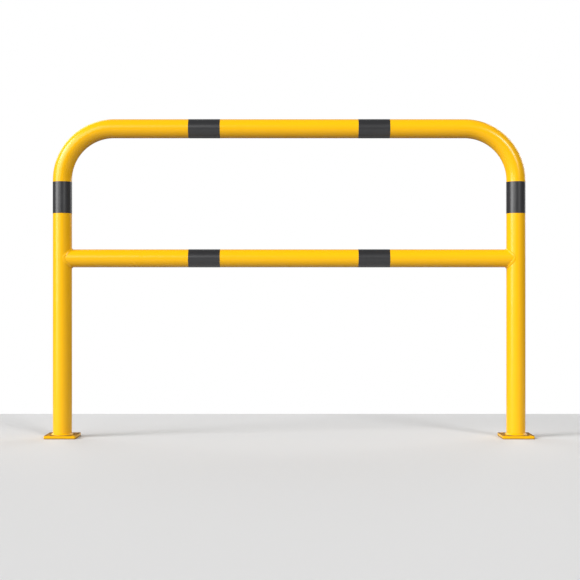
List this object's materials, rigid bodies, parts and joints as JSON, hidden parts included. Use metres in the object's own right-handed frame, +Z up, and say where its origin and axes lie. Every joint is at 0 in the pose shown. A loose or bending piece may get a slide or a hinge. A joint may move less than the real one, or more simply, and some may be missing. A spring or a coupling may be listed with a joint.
{
  "type": "industrial guard rail",
  "caption": "Welded steel tube hoop with rounded upper corners, a cross rail, dark film bands and flat square feet, to guard an edge or a walkway.",
  "frame": {"origin": "on the ground, midway between the two posts", "axes": "+X along the rail towards the right post, +Y through the depth towards the back, +Z up"},
  "size_m": [1.54, 0.1, 1.0107],
  "materials": {
    "yellow_coat": "satin",
    "dark_film": "satin"
  },
  "bodies": {
    "root": {"hoop_tube": "yellow_coat", "cross_rail": "yellow_coat", "base_plate_left": "yellow_coat", "base_plate_right": "yellow_coat", "foot_weld_left": "yellow_coat", "foot_weld_right": "yellow_coat", "rail_weld_left": "yellow_coat", "rail_weld_right": "yellow_coat", "top_band_left": "dark_film", "top_band_right": "dark_film", "rail_band_left": "dark_film", "rail_band_right": "dark_film", "post_band_left": "dark_film", "post_band_right": "dark_film"}
  },
  "joints": []
}
